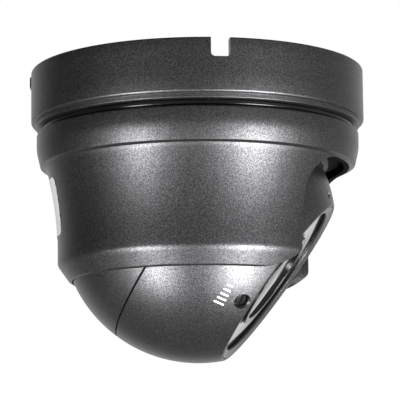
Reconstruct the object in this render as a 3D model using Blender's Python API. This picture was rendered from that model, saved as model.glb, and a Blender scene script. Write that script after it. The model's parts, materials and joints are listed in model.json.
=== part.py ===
"""Eyeball dome camera for a ceiling: a fixed round base, a shroud that pans under it, and a ball in the
shroud that tilts. The ball's front half carries the lens and lamps and turns on its rear half.

The origin is the centre of the ceiling face. +Z is up, so the camera hangs below Z = 0, and +X is the
side that the shroud's window faces. Outlines and places are in millimetres and are scaled to metres
as each mesh is made. The ball's pieces are drawn in the ball's own frame: its centre is the ball's
centre, its +Z is the optical axis, and -X is up along the front face.
"""

import math

import bmesh
import bpy
from mathutils import Matrix, Vector

MM = 0.001
GAP = 0.3  # left between pieces that touch
BODY_STEPS, BALL_STEPS, LENS_STEPS = 36, 32, 20  # sides of round pieces, by where they are

# Ceiling base
BASE_R = 70.0
BASE_WALL_R = 64.8
BASE_BOTTOM_Z = -23.9
SKIRT_OUTER_R, SKIRT_INNER_R = 60.8, 56.8
SKIRT_BOTTOM_Z = -30.0
WEB_TOP_Z, WEB_BOTTOM_Z = -9.0, -11.8
WEB_HOLE_R = 27.0
BOSS_PCD_R, BOSS_R, BOSS_HOLE_R = 45.0, 5.0, 2.3
NOTCH_WIDTH, NOTCH_DEPTH, NOTCH_CORNER_R = 7.7, 7.8, 1.6
NOTCH_ANGLE, PLUG_ANGLE = -77.7, 185.0
GROMMET_PCD_R = 42.0
RETAINER_SCREW_R = 58.8

# Shroud
SHROUD_TOP_Z = -26.7
WINDOW_HALF_WIDTH, WINDOW_TOP_Z, WINDOW_CORNER_R = 38.5, -41.3, 14.0
LIP_CORNER_R, LIP_BOTTOM_Z = 9.0, -88.7
WALL_TOP_R, WALL_TOP_Z = 63.3, -42.0
WAIST_R, WAIST_Z = 58.95, -74.0
CLAMP_SCREW_R = 58.6
LABEL_WIDTH, LABEL_TOP_Z, LABEL_BOTTOM_Z = 46.0, -46.3, -70.0

# Ball
BALL_Z, BALL_R = -64.9, 57.5
SHELL_INNER_R = 54.5
BALL_PLAY = 0.4
SEAM_HALF_GAP = 0.25
REST_TILT = 36.8  # degrees that the optical axis looks below level
FACE_H = 41.5
CAP_H = -46.0
ADJUSTER_MOUTH_R, ADJUSTER_BORE_R = 3.25, 1.9
ADJUSTER_UP, ADJUSTER_SIDE, ADJUSTER_H = -17.3, 39.4, 38.2
GRUB_UP, GRUB_SIDE, GRUB_H = 40.9, 13.4, 38.1

# Lens
RING_R, RING_ROOT_R, RING_BORE_R, RING_TEETH = 16.5, 15.3, 13.35, 18
PINION_R, PINION_ROOT_R, PINION_TEETH = 3.1, 2.2, 6
ZOOM_RING_H, FOCUS_RING_H = 13.4, 17.4
LED_COUNT, LED_PCD_R, LED_R = 24, 26.4, 2.5

FINISHES = {
    "graphite_paint": ((0.045, 0.045, 0.048), 0.38, 0.65),
    "black_paint": ((0.012, 0.012, 0.013), 0.45, 0.2),
    "black_rubber": ((0.01, 0.01, 0.01), 0.5, 0.0),
    "black_plastic": ((0.015, 0.015, 0.016), 0.4, 0.0),
    "dark_glass": ((0.01, 0.01, 0.012), 0.05, 0.0),
    "clear_glass": ((0.35, 0.38, 0.42), 0.03, 0.0),
    "white_plastic": ((0.7, 0.7, 0.68), 0.4, 0.0),
    "steel": ((0.55, 0.55, 0.56), 0.3, 1.0),
    "brass": ((0.6, 0.42, 0.16), 0.3, 1.0),
    "circuit_board": ((0.015, 0.12, 0.05), 0.45, 0.0),
    "silver_label": ((0.72, 0.73, 0.74), 0.35, 0.2),
    "silicon": ((0.08, 0.07, 0.1), 0.15, 0.3),
}


def clear_scene():
    for obj in list(bpy.data.objects):
        bpy.data.objects.remove(obj, do_unlink=True)


# ---- Mesh makers -----------------------------------------------------------------------------------


def turned(outline, steps=BODY_STEPS):
    """A solid of revolution about Z from (radius, height) points. An outline that starts and ends on
    the axis is left open there, and any other outline is closed into a ring."""
    mesh = bmesh.new()
    points = [mesh.verts.new((radius * MM, 0.0, height * MM)) for radius, height in outline]
    reaches_axis = outline[0][0] == 0 and outline[-1][0] == 0
    following = points[1:] if reaches_axis else points[1:] + points[:1]
    edges = [mesh.edges.new(pair) for pair in zip(points, following)]
    bmesh.ops.spin(
        mesh, geom=points + edges, cent=(0, 0, 0), axis=(0, 0, 1),
        angle=2 * math.pi, steps=steps, use_merge=True,
    )
    return mesh


def ring(inner, outer, low, high, steps=BODY_STEPS):
    return turned([(outer, low), (outer, high), (inner, high), (inner, low)], steps)


def rod(radius, low, high, steps=12):
    return turned([(0, low), (radius, low), (radius, high), (0, high)], steps)


def box(size, centre):
    mesh = bmesh.new()
    scale = Matrix.Diagonal((*(side * MM for side in size), 1.0))
    bmesh.ops.create_cube(mesh, size=1.0, matrix=Matrix.Translation(Vector(centre) * MM) @ scale)
    return mesh


def extruded(outline, low, high):
    """A prism along Z from (x, y) points that run anticlockwise."""
    mesh = bmesh.new()
    face = mesh.faces.new([mesh.verts.new((x * MM, y * MM, low * MM)) for x, y in outline])
    swept = bmesh.ops.extrude_face_region(mesh, geom=[face])["geom"]
    top = [item for item in swept if isinstance(item, bmesh.types.BMVert)]
    bmesh.ops.translate(mesh, vec=Vector((0, 0, (high - low) * MM)), verts=top)
    return mesh


def toothed(tip, root, bore, teeth, low, high):
    """A spur wheel about Z. Each tooth has four outline points, and a bore of zero makes it solid."""
    outline = []
    for tooth in range(teeth):
        for share, radius in ((-0.36, root), (-0.16, tip), (0.16, tip), (0.36, root)):
            angle = 2 * math.pi * (tooth + share) / teeth
            outline.append((radius * math.cos(angle), radius * math.sin(angle)))
    if not bore:
        return extruded(outline, low, high)
    mesh = bmesh.new()
    loops = []
    for height in (low, high):
        outer = [mesh.verts.new((x * MM, y * MM, height * MM)) for x, y in outline]
        scale = [bore / math.hypot(x, y) for x, y in outline]
        inner = [
            mesh.verts.new((x * k * MM, y * k * MM, height * MM)) for (x, y), k in zip(outline, scale)
        ]
        loops.append((outer, inner))
    (low_outer, low_inner), (high_outer, high_inner) = loops
    count = len(outline)
    for i in range(count):
        j = (i + 1) % count
        mesh.faces.new((low_outer[i], low_outer[j], high_outer[j], high_outer[i]))
        mesh.faces.new((low_inner[j], low_inner[i], high_inner[i], high_inner[j]))
        mesh.faces.new((high_outer[i], high_outer[j], high_inner[j], high_inner[i]))
        mesh.faces.new((low_outer[j], low_outer[i], low_inner[i], low_inner[j]))
    return mesh


def moved(mesh, matrix):
    bmesh.ops.transform(mesh, matrix=matrix, verts=mesh.verts)
    return mesh


def at(mesh, x=0.0, y=0.0, z=0.0):
    return moved(mesh, Matrix.Translation(Vector((x, y, z)) * MM))


def gathered(meshes):
    """Several meshes in one, for a cutter that works in several places."""
    whole = bmesh.new()
    for mesh in meshes:
        data = bpy.data.meshes.new("part_of_group")
        mesh.to_mesh(data)
        mesh.free()
        whole.from_mesh(data)
        bpy.data.meshes.remove(data)
    return whole


def around(count, radius, start=0.0):
    """Places on a circle, as (x, y)."""
    for index in range(count):
        angle = math.radians(start + 360.0 * index / count)
        yield radius * math.cos(angle), radius * math.sin(angle)


def arc(centre_r, centre_z, radius, start, end, steps):
    """Outline points on a circle, between two angles in degrees above level."""
    for index in range(steps + 1):
        angle = math.radians(start + (end - start) * index / steps)
        yield centre_r + radius * math.cos(angle), centre_z + radius * math.sin(angle)


def sphere_r(radius, height):
    return math.sqrt(radius * radius - height * height)


# ---- Object makers ---------------------------------------------------------------------------------


def finish(name, kind):
    colour, roughness, metallic = FINISHES[kind]
    made = bpy.data.materials.new(name)
    made.use_nodes = True
    made.diffuse_color = (*colour, 1.0)
    shader = made.node_tree.nodes["Principled BSDF"]
    shader.inputs["Base Color"].default_value = (*colour, 1.0)
    shader.inputs["Roughness"].default_value = roughness
    shader.inputs["Metallic"].default_value = metallic
    return made


def linked(name, mesh, parent):
    bmesh.ops.remove_doubles(mesh, verts=mesh.verts, dist=2e-6)
    bmesh.ops.recalc_face_normals(mesh, faces=mesh.faces)
    data = bpy.data.meshes.new(name)
    mesh.to_mesh(data)
    mesh.free()
    obj = bpy.data.objects.new(name, data)
    bpy.context.scene.collection.objects.link(obj)
    obj.parent = parent
    return obj


def piece(name, mesh, kind, parent=None):
    obj = linked(name, mesh, parent)
    obj.data.shade_smooth()
    obj.data.set_sharp_from_angle(angle=math.radians(32))
    obj.data.materials.append(finish(name, kind))
    return obj


def shape_with(target, label, mesh, operation="DIFFERENCE"):
    """Cuts a mesh from a piece, or joins it to the piece, with a hidden helper object."""
    helper = linked(f"{target.name}_{label}", mesh, target.parent)
    helper.hide_render = True
    helper.display_type = "WIRE"
    step = target.modifiers.new(label, "BOOLEAN")
    step.operation = operation
    step.object = helper
    weld = target.modifiers.new(f"{label}_weld", "WELD")
    weld.merge_threshold = 2e-6


def frame(name, parent=None, matrix=None):
    empty = bpy.data.objects.new(name, None)
    bpy.context.scene.collection.objects.link(empty)
    empty.parent = parent
    if matrix is not None:
        empty.matrix_basis = matrix
    return empty


def screw(name, head_r, head_high, shank_r, shank_top, parent, x, y, z, points_down=False):
    """A slotted screw with its head's underside at z. It points up, or down when asked."""
    mesh = turned(
        [(0, shank_top), (shank_r, shank_top), (shank_r, 0), (head_r, 0),
         (head_r, 0.4 - head_high), (head_r - 0.5, -head_high), (0, -head_high)], 10,
    )
    if points_down:
        moved(mesh, Matrix.Rotation(math.pi, 4, "X"))
    obj = piece(name, at(mesh, x, y, z), "steel", parent)
    outward = 1 if points_down else -1
    shape_with(obj, "slot", box((2 * head_r + 1, 0.7, 0.9), (x, y, z + outward * head_high)))


# ---- Ceiling base ----------------------------------------------------------------------------------


def notch(angle, depth, width=NOTCH_WIDTH):
    """The cutter of a cable notch in the base's wall, round-cornered at its bottom, at an angle."""
    half, corner = width / 2, NOTCH_CORNER_R
    outline = [(-half, 2.0), *((x, y) for x, y in arc(-half + corner, corner - depth, corner, 180, 270, 4))]
    outline += list(arc(half - corner, corner - depth, corner, 270, 360, 4)) + [(half, 2.0)]
    mesh = extruded(outline, 60.0, 76.0)
    stand = Matrix(((0, 0, 1, 0), (1, 0, 0, 0), (0, 1, 0, 0), (0, 0, 0, 1)))
    return moved(mesh, Matrix.Rotation(math.radians(angle), 4, "Z") @ stand)


def make_base():
    outline = [
        (BASE_R - 0.7, 0), (BASE_R, -0.7), (BASE_R, -20.6), (BASE_R - 0.6, -21.25), (BASE_R - 1.1, -21.4),
        (67.9, -23.3), (67.3, BASE_BOTTOM_Z), (SKIRT_OUTER_R, BASE_BOTTOM_Z),
        (SKIRT_OUTER_R, SKIRT_BOTTOM_Z), (SKIRT_INNER_R, SKIRT_BOTTOM_Z), (SKIRT_INNER_R, WEB_BOTTOM_Z),
        (WEB_HOLE_R, WEB_BOTTOM_Z), (WEB_HOLE_R, WEB_TOP_Z), (SKIRT_OUTER_R, WEB_TOP_Z),
        (SKIRT_OUTER_R, -20.9), (BASE_WALL_R, -20.9), (BASE_WALL_R, 0),
    ]
    base = piece("base_housing", turned(outline), "graphite_paint")
    bosses = [at(rod(BOSS_R, WEB_BOTTOM_Z + 0.5, 0), x, y) for x, y in around(3, BOSS_PCD_R)]
    shape_with(base, "bosses", gathered(bosses), "UNION")
    holes = [at(rod(BOSS_HOLE_R, -14, 2), x, y) for x, y in around(3, BOSS_PCD_R)]
    holes += [at(rod(1.6, -32, -21), x, y) for x, y in around(3, RETAINER_SCREW_R, 60)]
    holes.append(at(rod(6.6, -14, -6, 16), -GROMMET_PCD_R))
    shape_with(base, "holes", gathered(holes))
    shape_with(base, "cable_notch", notch(NOTCH_ANGLE, NOTCH_DEPTH))
    shape_with(base, "plug_notch", notch(PLUG_ANGLE, NOTCH_DEPTH - 0.9))

    plug = box((6.5, 6.8, 5.7), (67.4, 0, -3.65))
    bmesh.ops.bevel(plug, geom=plug.edges[:], offset=1.0 * MM, segments=2, profile=0.5, affect="EDGES")
    piece("notch_plug", moved(plug, Matrix.Rotation(math.radians(PLUG_ANGLE), 4, "Z")), "black_rubber")

    grommet = [
        (4.0, -7.7), (7.8, -7.9), (8.2, -8.7), (6.2, -8.7), (6.2, -12.1), (8.2, -12.1), (7.8, -12.9),
        (4.0, -13.1),
    ]
    piece("cable_grommet", at(turned(grommet, 16), -GROMMET_PCD_R), "black_rubber")

    seal_low, seal_high = SHROUD_TOP_Z + GAP, BASE_BOTTOM_Z - GAP
    bead = [(64.2, seal_low), (65.2, seal_low), *arc(65.2, (seal_low + seal_high) / 2, 0.9, -60, 60, 2)]
    piece("seal_ring", turned(bead + [(65.2, seal_high), (64.2, seal_high)]), "black_rubber")
    piece("pan_glide_ring", ring(61.2, 63.7, seal_low, seal_high), "white_plastic")

    retainer = piece("pan_retainer", ring(54.0, 63.9, -33.3, SKIRT_BOTTOM_Z - GAP), "steel")
    places = list(around(3, RETAINER_SCREW_R, 60))
    bores = [at(rod(1.6, -34, -29), x, y) for x, y in places]
    sinks = [at(rod(3.0, -34, -31.6), x, y) for x, y in places]
    shape_with(retainer, "bores", gathered(bores))
    shape_with(retainer, "sinks", gathered(sinks))
    for index, (x, y) in enumerate(places, 1):
        screw(f"retainer_screw_{index}", 2.6, 1.4, 1.25, 8.0, None, x, y, -31.9)


# ---- Panning head ----------------------------------------------------------------------------------


def window_cutter():
    """The shroud's window seen from the front: straight sides, a flat top with round corners, and
    corners that flare out to the lip at its open bottom."""
    half, corner = WINDOW_HALF_WIDTH, WINDOW_CORNER_R
    upper = list(arc(half - corner, WINDOW_TOP_Z - corner, corner, 90, 0, 5))
    flare = list(arc(half + LIP_CORNER_R, LIP_BOTTOM_Z + LIP_CORNER_R, LIP_CORNER_R, 180, 265, 4))
    right = upper + flare + [(half + LIP_CORNER_R, -96)]
    left = [(-y, z) for y, z in reversed(right)]
    mesh = extruded(list(reversed(right + left)), 8.0, 80.0)
    stand = Matrix(((0, 0, 1, 0), (1, 0, 0, 0), (0, 1, 0, 0), (0, 0, 0, 1)))
    return moved(mesh, stand)


def wall_r(z):
    """Outer radius of the shroud's wall, which flares from its waist up to the flange in a hollow curve."""
    share = (z - WAIST_Z) / (WALL_TOP_Z - WAIST_Z)
    return WAIST_R + (WALL_TOP_R - WAIST_R) * share**2


def make_head(pan):
    play_r = BALL_R + BALL_PLAY
    lip_angle = math.degrees(math.asin((LIP_BOTTOM_Z - BALL_Z) / play_r))
    wall = [(wall_r(z), z) for z in (-43.8, -50.0, -56.0, -62.0, -68.0, WAIST_Z)]
    outline = [
        (66.9, SHROUD_TOP_Z), (67.7, -27.5), (67.7, -33.0), (67.2, -36.4), (65.8, -40.0), (63.7, -41.4),
        *wall, (58.9, -81.6), (54.4, -88.0), (53.6, LIP_BOTTOM_Z),
        *arc(0, BALL_Z, play_r, lip_angle, 0, 4),
        (60.9, -45.0), (61.3, -39.0), (63.6, -39.0), (63.6, -34.6), (64.3, -33.8), (64.3, -30.0),
        (65.1, -30.0), (65.1, SHROUD_TOP_Z),
    ]
    shroud = piece("shroud_shell", turned(outline), "graphite_paint", pan)
    places = [next(around(1, CLAMP_SCREW_R, angle)) for angle in (80, 180, 280)]
    bosses = [at(rod(3.4, -46.5, -39.3), x, y) for x, y in places]
    shape_with(shroud, "bosses", gathered(bosses), "UNION")
    shape_with(shroud, "bores", gathered([at(rod(1.6, -45.6, -38), x, y) for x, y in places]))
    shape_with(shroud, "seal_groove", ring(54.0, 57.9, -78.0, -75.5))
    shape_with(shroud, "window", window_cutter())

    seal = piece("lip_seal", ring(56.85, 57.6, -77.7, -75.8), "black_rubber", pan)
    shape_with(seal, "window", window_cutter())

    piece("pan_ring", ring(61.2, 64.8, -29.7, SHROUD_TOP_Z), "steel", pan)

    clamp_outline = [
        (63.3, -35.0), (63.3, -38.7), (55.2, -38.7), (55.2, -37.4), (51.2, -37.4), (49.9, -35.0),
    ]
    clamp = piece("ball_clamp_ring", turned(clamp_outline), "black_paint", pan)
    shape_with(clamp, "bores", gathered([at(rod(1.6, -40, -34), x, y) for x, y in places]))
    shape_with(clamp, "sinks", gathered([at(rod(3.1, -36.2, -34), x, y) for x, y in places]))
    pad = [(51.3, -37.7), (54.8, -37.7), (54.8, -40.9), (52.9, -40.9)]
    piece("friction_ring", turned(pad), "black_rubber", pan)
    for index, (x, y) in enumerate(places, 1):
        screw(f"clamp_screw_{index}", 2.7, 1.8, 1.25, 8.8, pan, x, y, -35.9, points_down=True)

    make_label(pan)


def make_label(pan):
    """A thin blank sticker bent round the rear of the shroud's wall, with round corners."""
    half_turn = LABEL_WIDTH / 2 / 61.0
    columns, rows = 10, 4
    corner = 2.5
    mesh = bmesh.new()
    grid = {}
    for layer, stand_off in enumerate((0.1, 0.35)):
        for column in range(columns + 1):
            across = -1 + 2 * column / columns
            from_side = (1 - abs(across)) * LABEL_WIDTH / 2
            inset = corner - sphere_r(corner, corner - from_side) if from_side < corner else 0.0
            for row in range(rows + 1):
                top, bottom = LABEL_TOP_Z - inset, LABEL_BOTTOM_Z + inset
                z = top + (bottom - top) * row / rows
                angle = math.pi + across * half_turn
                radius = wall_r(z) + stand_off
                grid[layer, column, row] = mesh.verts.new(
                    (radius * math.cos(angle) * MM, radius * math.sin(angle) * MM, z * MM)
                )
    for column in range(columns):
        for row in range(rows):
            for layer in (0, 1):
                corners = ((0, 0), (1, 0), (1, 1), (0, 1))
                mesh.faces.new([grid[layer, column + i, row + j] for i, j in corners])
    edge = [(column, 0) for column in range(columns)] + [(columns, row) for row in range(rows)]
    edge += [(column, rows) for column in range(columns, 0, -1)] + [(0, row) for row in range(rows, 0, -1)]
    for (c0, r0), (c1, r1) in zip(edge, edge[1:] + edge[:1]):
        mesh.faces.new([grid[0, c0, r0], grid[0, c1, r1], grid[1, c1, r1], grid[1, c0, r0]])
    piece("rear_label", mesh, "silver_label", pan)


# ---- Rear half of the ball -------------------------------------------------------------------------


def make_ball_rear(tilt):
    seam = -SEAM_HALF_GAP
    cap = CAP_H
    start = math.degrees(math.asin(seam / BALL_R))
    end = math.degrees(math.asin(cap / BALL_R))
    inner_cap = cap + 3.0
    inner_end = math.degrees(math.asin(inner_cap / SHELL_INNER_R))
    inner_start = math.degrees(math.asin(-3.0 / SHELL_INNER_R))
    outline = [
        *arc(0, 0, BALL_R, start, end, 6),
        (6.0, cap), (6.0, inner_cap),
        *arc(0, 0, SHELL_INNER_R, inner_end, inner_start, 5),
        (51.5, -3.0), (51.5, seam), (55.2, seam), (55.2, -1.4), (56.6, -1.4), (56.6, seam),
    ]
    shell = piece("ball_rear_shell", turned(outline, BALL_STEPS), "graphite_paint", tilt)
    places = list(around(3, 27.0, 90))
    shape_with(shell, "posts", gathered([at(rod(3.2, -44, -30.3), x, y) for x, y in places]), "UNION")
    shape_with(shell, "bores", gathered([at(rod(1.5, -40, -29), x, y) for x, y in places]))

    piece("seam_oring", ring(55.5, 56.3, -1.1, -0.05, BALL_STEPS), "black_rubber", tilt)
    spool = [(49.0, -3.1), (51.2, -3.1), (51.2, 3.3), (53.6, 3.3), (53.6, 4.8), (49.0, 4.8)]
    piece("roll_ring", turned(spool, BALL_STEPS), "steel", tilt)
    piece("roll_clamp_ring", ring(46.5, 53.6, -5.0, -3.4, BALL_STEPS), "steel", tilt)

    gland = [
        (3.5, -38.0), (5.7, -38.0), (5.7, -46.3), (8.6, -46.3), (8.6, -51.0), (6.2, -53.6), (3.5, -53.6),
    ]
    piece("cable_gland", turned(gland, LENS_STEPS), "black_plastic", tilt)
    nut = toothed(9.2, 9.2, 6.0, 6, -42.7, -39.6)
    piece("gland_locknut", nut, "black_plastic", tilt)

    board = piece("main_board", rod(34.0, -30.0, -28.4, BALL_STEPS), "circuit_board", tilt)
    shape_with(board, "bores", gathered([at(rod(1.6, -31, -27), x, y) for x, y in places]))
    shape_with(board, "slot", box((24, 14, 4), (34.0, 0, -29)))
    piece("power_connector", box((6.0, 12.0, 5.5), (16.0, 0, -25.3)), "white_plastic", tilt)
    for index, (x, y) in enumerate(places, 1):
        screw(f"main_board_screw_{index}", 2.5, 1.6, 1.2, 7.0, tilt, x, y, -28.1, points_down=True)


# ---- Front half of the ball ------------------------------------------------------------------------


def spindle_frames(roll):
    """Frames on the zoom and focus spindles' axes: the origin is the mouth of the access hole on the
    ball's surface, and +Z points out of the ball. Both axes reach for the toothed rings of the lens."""
    frames = {}
    for name, side, ring_h in (("zoom", -1, ZOOM_RING_H), ("focus", 1, FOCUS_RING_H)):
        mouth = Vector((-ADJUSTER_UP, side * ADJUSTER_SIDE, ADJUSTER_H))
        flat = Vector((mouth.x, mouth.y, 0)).normalized()
        inner_end = flat * 20.6 + Vector((0, 0, ring_h - 1.0))
        outward = (mouth - inner_end).normalized()
        turn = outward.to_track_quat("Z", "Y").to_matrix().to_4x4()
        matrix = Matrix.Translation(mouth * MM) @ turn
        frames[name] = (frame(f"{name}_axis", roll, matrix), matrix, (mouth - inner_end).length)
    return frames


def make_ball_front(roll, spindles):
    seam = SEAM_HALF_GAP
    start = math.degrees(math.asin(seam / BALL_R))
    end = math.degrees(math.asin(FACE_H / BALL_R))
    ledge_top, ledge_bottom = 35.9, 33.9
    inner_start = math.degrees(math.asin(ledge_bottom / SHELL_INNER_R))
    inner_end = math.degrees(math.asin(3.0 / SHELL_INNER_R))
    outline = [
        *arc(0, 0, BALL_R, start, end, 6),
        (38.9, FACE_H), (38.9, 39.55), (36.9, 39.55), (36.9, ledge_top), (33.8, ledge_top),
        (33.8, ledge_bottom),
        *arc(0, 0, SHELL_INNER_R, inner_start, inner_end, 5),
        (51.5, 3.0), (51.5, seam),
    ]
    shell = piece("ball_front_shell", turned(outline, BALL_STEPS), "graphite_paint", roll)
    bracket_places = list(around(3, 46.5, 0))
    bosses = [at(rod(3.2, 7.9, 29.0), x, y) for x, y in bracket_places]
    shape_with(shell, "bosses", gathered(bosses), "UNION")
    shape_with(shell, "boss_bores", gathered([at(rod(1.5, 7, 17), x, y) for x, y in bracket_places]))
    for name, (_, matrix, _) in spindles.items():
        parts = [rod(ADJUSTER_MOUTH_R, -2.6, 4.0, 16), rod(ADJUSTER_BORE_R, -16, -1.0)]
        for label, mesh in zip(("mouth", "bore"), parts):
            shape_with(shell, f"{name}_{label}", moved(mesh, matrix))

    for index, side in ((1, -1), (2, 1)):
        out = Vector((-GRUB_UP, side * GRUB_SIDE, GRUB_H))
        turn = Matrix.Translation(out * MM) @ out.to_track_quat("Z", "Y").to_matrix().to_4x4()
        shape_with(shell, f"grub_hole_{index}", moved(rod(1.4, -4.2, 2.0, 10), turn))
        grub = piece(f"bezel_grub_screw_{index}", moved(rod(1.1, -3.9, -1.0, 10), turn), "steel", roll)
        shape_with(grub, "socket", moved(rod(0.55, -2.2, 0.0, 6), turn))

    bezel = [(38.6, 39.8), (38.6, 41.35), (38.3, FACE_H), (35.2, 40.75), (35.0, 40.6), (35.0, 39.8)]
    piece("bezel_ring", turned(bezel, BALL_STEPS), "black_paint", roll)
    piece("led_window", ring(21.8, 36.6, 37.4, 39.4, BALL_STEPS), "dark_glass", roll)
    piece("lens_window", rod(18.6, 37.4, 39.4, BALL_STEPS), "dark_glass", roll)
    piece("window_gasket", ring(34.2, 36.4, 36.2, 37.1, BALL_STEPS), "black_rubber", roll)
    baffle = [(18.9, 30.0), (21.5, 30.0), (21.5, 39.9), (21.2, 40.2), (19.2, 40.2), (18.9, 39.9)]
    piece("ir_baffle", turned(baffle, BALL_STEPS), "black_rubber", roll)

    board = piece("led_board", ring(17.0, 30.0, 28.0, 29.6, BALL_STEPS), "circuit_board", roll)
    standoffs = list(around(3, 19.2, 30))
    shape_with(board, "bores", gathered([at(rod(1.5, 27, 31, 8), x, y) for x, y in standoffs]))
    sensor_x = -LED_PCD_R
    lamps = piece("led_array", ring(22.0, 30.0, 29.9, 31.4, BALL_STEPS), "clear_glass", roll)
    dome = [(0, 30.5), (LED_R, 30.5), (1.7, 35.7), (0, 35.7)]
    places = [(x, y) for x, y in around(LED_COUNT, LED_PCD_R) if x > sensor_x + 0.5]
    shape_with(lamps, "domes", gathered([at(turned(dome, 6), x, y) for x, y in places]), "UNION")
    shape_with(lamps, "sensor_hole", at(rod(2.9, 29, 33), sensor_x))
    piece("light_sensor", at(rod(2.5, 29.9, 34.2), sensor_x), "clear_glass", roll)

    plate = piece("chassis_plate", rod(51.5, 6.1, 7.6, BALL_STEPS), "steel", roll)
    shape_with(plate, "lens_hole", box((28.8, 28.8, 4), (0, 0, 7)))
    bores = [at(rod(1.6, 5, 9), x, y) for x, y in bracket_places]
    bores += [at(rod(7.5, 5, 9), x, y) for x, y in around(3, 35.0, 60)]
    shape_with(plate, "bores", gathered(bores))
    for index, (x, y) in enumerate(bracket_places, 1):
        screw(f"chassis_screw_{index}", 2.3, 0.7, 1.2, 9.5, roll, x, y, 5.8)
    for index, (x, y) in enumerate(standoffs, 1):
        post = [(0, 7.9), (1.8, 7.9), (1.8, 27.7), (1.2, 27.7), (1.2, 29.9), (0, 29.9)]
        piece(f"led_standoff_{index}", at(turned(post, 6), x, y), "brass", roll)


def make_lens(roll, spindles):
    piece("sensor_board", box((38, 38, 1.6), (0, 0, 1.3)), "circuit_board", roll)
    piece("image_sensor", box((12, 11, 1.6), (0, 0, 3.2)), "silicon", roll)
    mount = piece("lens_mount", box((28, 28, 5.6), (0, 0, 5.2)), "black_plastic", roll)
    shape_with(mount, "sensor_pocket", box((14, 13, 3.4), (0, 0, 3.4)))
    shape_with(mount, "throat", rod(6.0, 3, 9, LENS_STEPS))
    barrel = [(11.25, 8.3), (15.6, 8.3), (15.6, 11.0), (13.0, 11.0), (13.0, 31.0), (11.25, 31.0)]
    piece("lens_barrel", turned(barrel, LENS_STEPS), "black_plastic", roll)
    piece("ring_clip", ring(13.3, 15.0, 19.8, 20.6, LENS_STEPS), "steel", roll)
    for name, height in (("zoom", ZOOM_RING_H), ("focus", FOCUS_RING_H)):
        gear = toothed(RING_R, RING_ROOT_R, RING_BORE_R, RING_TEETH, height - 1.7, height + 1.7)
        piece(f"{name}_ring", gear, "black_plastic", roll)

    front_cell = [(7.0, 22.0), (10.9, 22.0), (10.9, 33.0), (9.4, 33.0), (9.4, 27.0), (7.0, 27.0)]
    piece("zoom_lens_cell", turned(front_cell, LENS_STEPS), "black_plastic", roll)
    front_glass = [(0, 27.4), (9.1, 27.4), (9.1, 29.4), (6.2, 30.8), (3.2, 31.5), (0, 31.8)]
    piece("zoom_lens", turned(front_glass, LENS_STEPS), "clear_glass", roll)
    rear_cell = [(6.2, 12.4), (10.9, 12.4), (10.9, 17.4), (8.4, 17.4), (8.4, 14.6), (6.2, 14.6)]
    piece("focus_lens_cell", turned(rear_cell, LENS_STEPS), "black_plastic", roll)
    rear_glass = [(0, 14.9), (8.1, 14.9), (8.1, 16.2), (4.4, 17.2), (0, 17.6)]
    piece("focus_lens", turned(rear_glass, LENS_STEPS), "clear_glass", roll)

    for name, (axis, _, length) in spindles.items():
        head_top, head_bottom = -1.1, -2.3
        shaft = [
            (0, -length - 1.6), (1.5, -length - 1.6), (1.5, head_bottom), (2.4, head_bottom),
            (2.4, head_top - 0.3), (2.1, head_top), (0, head_top),
        ]
        spindle = piece(f"{name}_spindle", turned(shaft, 12), "steel", axis)
        shape_with(spindle, "slot", box((0.9, 6, 1.1), (0, 0, head_top)))
        pinion = toothed(PINION_R, PINION_ROOT_R, 0, PINION_TEETH, -length - 1.3, -length + 1.3)
        shape_with(spindle, "pinion", pinion, "UNION")


def main():
    clear_scene()
    make_base()
    pan = frame("pan_axis")
    make_head(pan)
    look_down = Matrix.Rotation(math.radians(90 + REST_TILT), 4, "Y")
    tilt = frame("tilt_axis", pan, Matrix.Translation((0, 0, BALL_Z * MM)) @ look_down)
    make_ball_rear(tilt)
    roll = frame("roll_axis", tilt)
    spindles = spindle_frames(roll)
    make_ball_front(roll, spindles)
    make_lens(roll, spindles)


main()
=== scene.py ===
"""Looks of the eyeball dome camera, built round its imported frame.

The pieces that show are made again as fine meshes on the frame's own sizes. Outlines are in
millimetres. Ball pieces are drawn in the ball's frame: +Z is the optical axis and -X is up along
the front face. Pieces inside the housings keep their CAD meshes and get finished materials.
"""

import json
import math

import bmesh
import bpy
from mathutils import Matrix, Vector


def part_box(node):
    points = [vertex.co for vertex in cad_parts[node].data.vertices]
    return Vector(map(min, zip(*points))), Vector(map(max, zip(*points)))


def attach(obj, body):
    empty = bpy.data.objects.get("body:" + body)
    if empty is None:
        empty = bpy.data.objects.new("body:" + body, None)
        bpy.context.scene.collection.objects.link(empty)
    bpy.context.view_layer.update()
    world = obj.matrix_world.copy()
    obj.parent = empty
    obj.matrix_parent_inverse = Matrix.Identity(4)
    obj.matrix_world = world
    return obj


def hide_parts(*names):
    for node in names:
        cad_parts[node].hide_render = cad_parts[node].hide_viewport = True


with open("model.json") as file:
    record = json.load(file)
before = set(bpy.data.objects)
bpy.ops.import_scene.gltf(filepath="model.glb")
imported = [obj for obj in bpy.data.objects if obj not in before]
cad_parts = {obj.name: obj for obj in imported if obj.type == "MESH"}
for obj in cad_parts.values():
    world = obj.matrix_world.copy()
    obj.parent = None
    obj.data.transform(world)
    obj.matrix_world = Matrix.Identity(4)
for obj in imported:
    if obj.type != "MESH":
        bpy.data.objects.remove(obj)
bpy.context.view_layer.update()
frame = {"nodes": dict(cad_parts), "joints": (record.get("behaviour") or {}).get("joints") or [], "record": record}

MM = 0.001
JOINTS = {joint["name"]: joint for joint in frame["joints"]}


def reach(node):
    """Lowest and highest corners of a node in millimetres."""
    low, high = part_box(node)
    return Vector(low) / MM, Vector(high) / MM


# ---- Sizes from the frame --------------------------------------------------------------------------

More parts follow.
